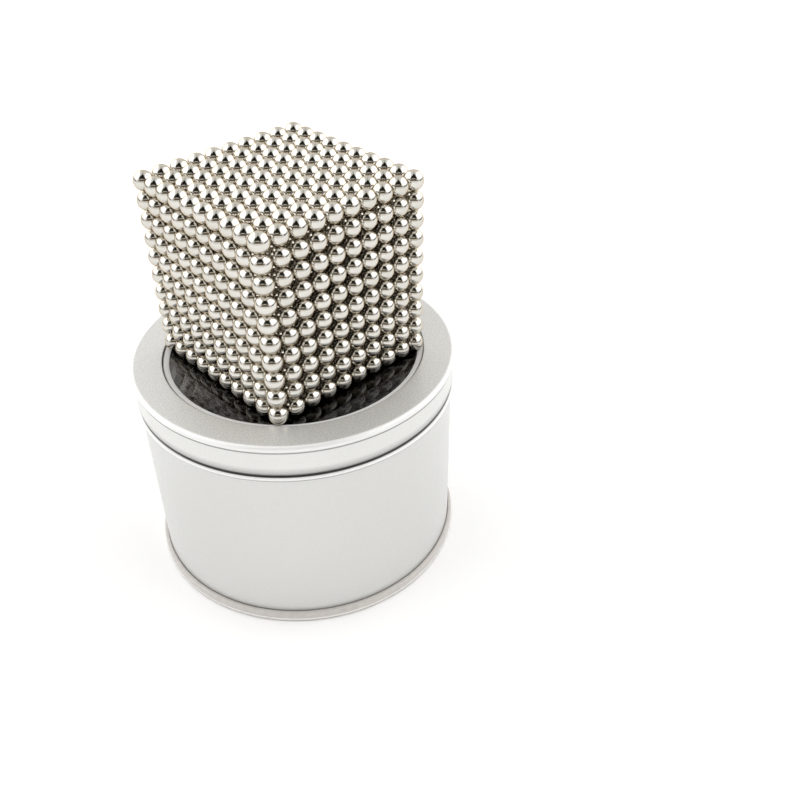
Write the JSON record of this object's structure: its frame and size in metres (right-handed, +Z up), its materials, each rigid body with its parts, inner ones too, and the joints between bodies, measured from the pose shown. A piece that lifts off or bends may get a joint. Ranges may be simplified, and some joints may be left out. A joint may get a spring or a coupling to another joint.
{
  "type": "magnetic ball cube on a window tin",
  "caption": "Desk toy: a cube of loose nickel-plated magnetic balls standing on the clear window of its round satin storage tin with a lift-off lid and foam pocket.",
  "frame": {"origin": "middle of the tin's foot, on the plane it stands on", "axes": "+Z up the tin's axis; X and Y parallel to the ball cube's vertical faces"},
  "size_m": [0.0864, 0.0864, 0.1089],
  "materials": {
    "ball_nickel": "polished nickel plating, warm silver",
    "lid_metal": "satin pearl-silver lacquer on pressed tinplate, fine sandy grain",
    "tin_metal": "satin pearl-silver lacquer on pressed tinplate, fine sandy grain",
    "seam_metal": "bare tinplate, satin, slightly warm",
    "clear_window": "clear glossy plastic sheet",
    "black_foam": "matt black closed-cell foam"
  },
  "bodies": {
    "tin": {"can_body": "tin_metal", "can_bottom": "seam_metal", "foam_pad": "black_foam", "foam_liner": "black_foam"},
    "lid": {"lid_shell": "lid_metal", "window_pane": "clear_window", "window_ring": "seam_metal"},
    "ball_layer_01": {"ball_layer_01": "ball_nickel"},
    "ball_layer_02": {"ball_layer_02": "ball_nickel"},
    "ball_layer_03": {"ball_layer_03": "ball_nickel"},
    "ball_layer_04": {"ball_layer_04": "ball_nickel"},
    "ball_layer_05": {"ball_layer_05": "ball_nickel"},
    "ball_layer_06": {"ball_layer_06": "ball_nickel"},
    "ball_layer_07": {"ball_layer_07": "ball_nickel"},
    "ball_layer_08": {"ball_layer_08": "ball_nickel"},
    "ball_layer_09": {"ball_layer_09": "ball_nickel"},
    "ball_row_01": {"ball_row_01": "ball_nickel"},
    "ball_row_02": {"ball_row_02": "ball_nickel"},
    "ball_row_03": {"ball_row_03": "ball_nickel"},
    "ball_row_04": {"ball_row_04": "ball_nickel"},
    "ball_row_05": {"ball_row_05": "ball_nickel"},
    "ball_row_06": {"ball_row_06": "ball_nickel"},
    "ball_row_07": {"ball_row_07": "ball_nickel"},
    "ball_row_08": {"ball_row_08": "ball_nickel"},
    "ball_row_09": {"ball_row_09": "ball_nickel"},
    "ball_01": {"ball_01": "ball_nickel"},
    "ball_02": {"ball_02": "ball_nickel"},
    "ball_03": {"ball_03": "ball_nickel"},
    "ball_04": {"ball_04": "ball_nickel"},
    "ball_05": {"ball_05": "ball_nickel"},
    "ball_06": {"ball_06": "ball_nickel"},
    "ball_07": {"ball_07": "ball_nickel"},
    "ball_08": {"ball_08": "ball_nickel"},
    "ball_09": {"ball_09": "ball_nickel"},
    "ball_10": {"ball_10": "ball_nickel"}
  },
  "joints": [
    {"name": "lid_lift", "type": "slide", "parent": "tin", "child": "lid", "axis": [0, 0, 1], "range_m": [0, 0.04]},
    {"name": "cube_lift", "type": "slide", "parent": "lid", "child": "ball_layer_01", "axis": [0, 0, 1], "range_m": [0, 0.02]},
    {"name": "layer_02_shift", "type": "slide", "parent": "ball_layer_01", "child": "ball_layer_02", "axis": [1, 0, 0], "range_m": [-0.005, 0.005]},
    {"name": "layer_03_shift", "type": "slide", "parent": "ball_layer_02", "child": "ball_layer_03", "axis": [1, 0, 0], "range_m": [-0.005, 0.005]},
    {"name": "layer_04_shift", "type": "slide", "parent": "ball_layer_03", "child": "ball_layer_04", "axis": [1, 0, 0], "range_m": [-0.005, 0.005]},
    {"name": "layer_05_shift", "type": "slide", "parent": "ball_layer_04", "child": "ball_layer_05", "axis": [1, 0, 0], "range_m": [-0.005, 0.005]},
    {"name": "layer_06_shift", "type": "slide", "parent": "ball_layer_05", "child": "ball_layer_06", "axis": [1, 0, 0], "range_m": [-0.005, 0.005]},
    {"name": "layer_07_shift", "type": "slide", "parent": "ball_layer_06", "child": "ball_layer_07", "axis": [1, 0, 0], "range_m": [-0.005, 0.005]},
    {"name": "layer_08_shift", "type": "slide", "parent": "ball_layer_07", "child": "ball_layer_08", "axis": [1, 0, 0], "range_m": [-0.005, 0.005]},
    {"name": "layer_09_shift", "type": "slide", "parent": "ball_layer_08", "child": "ball_layer_09", "axis": [1, 0, 0], "range_m": [-0.005, 0.005]},
    {"name": "row_01_slide", "type": "slide", "parent": "ball_layer_09", "child": "ball_row_01", "axis": [1, 0, 0], "range_m": [-0.005, 0.005]},
    {"name": "row_02_slide", "type": "slide", "parent": "ball_layer_09", "child": "ball_row_02", "axis": [1, 0, 0], "range_m": [-0.005, 0.005]},
    {"name": "row_03_slide", "type": "slide", "parent": "ball_layer_09", "child": "ball_row_03", "axis": [1, 0, 0], "range_m": [-0.005, 0.005]},
    {"name": "row_04_slide", "type": "slide", "parent": "ball_layer_09", "child": "ball_row_04", "axis": [1, 0, 0], "range_m": [-0.005, 0.005]},
    {"name": "row_05_slide", "type": "slide", "parent": "ball_layer_09", "child": "ball_row_05", "axis": [1, 0, 0], "range_m": [-0.005, 0.005]},
    {"name": "row_06_slide", "type": "slide", "parent": "ball_layer_09", "child": "ball_row_06", "axis": [1, 0, 0], "range_m": [-0.005, 0.005]},
    {"name": "row_07_slide", "type": "slide", "parent": "ball_layer_09", "child": "ball_row_07", "axis": [1, 0, 0], "range_m": [-0.005, 0.005]},
    {"name": "row_08_slide", "type": "slide", "parent": "ball_layer_09", "child": "ball_row_08", "axis": [1, 0, 0], "range_m": [-0.005, 0.005]},
    {"name": "row_09_slide", "type": "slide", "parent": "ball_layer_09", "child": "ball_row_09", "axis": [1, 0, 0], "range_m": [-0.005, 0.005]},
    {"name": "ball_01_pull", "type": "slide", "parent": "ball_layer_09", "child": "ball_01", "axis": [0, 0, 1], "range_m": [0, 0.01]},
    {"name": "ball_02_pull", "type": "slide", "parent": "ball_layer_09", "child": "ball_02", "axis": [0, 0, 1], "range_m": [0, 0.01]},
    {"name": "ball_03_pull", "type": "slide", "parent": "ball_layer_09", "child": "ball_03", "axis": [0, 0, 1], "range_m": [0, 0.01]},
    {"name": "ball_04_pull", "type": "slide", "parent": "ball_layer_09", "child": "ball_04", "axis": [0, 0, 1], "range_m": [0, 0.01]},
    {"name": "ball_05_pull", "type": "slide", "parent": "ball_layer_09", "child": "ball_05", "axis": [0, 0, 1], "range_m": [0, 0.01]},
    {"name": "ball_06_pull", "type": "slide", "parent": "ball_layer_09", "child": "ball_06", "axis": [0, 0, 1], "range_m": [0, 0.01]},
    {"name": "ball_07_pull", "type": "slide", "parent": "ball_layer_09", "child": "ball_07", "axis": [0, 0, 1], "range_m": [0, 0.01]},
    {"name": "ball_08_pull", "type": "slide", "parent": "ball_layer_09", "child": "ball_08", "axis": [0, 0, 1], "range_m": [0, 0.01]},
    {"name": "ball_09_pull", "type": "slide", "parent": "ball_layer_09", "child": "ball_09", "axis": [0, 0, 1], "range_m": [0, 0.01]},
    {"name": "ball_10_pull", "type": "slide", "parent": "ball_layer_09", "child": "ball_10", "axis": [0, 0, 1], "range_m": [0, 0.01]}
  ]
}
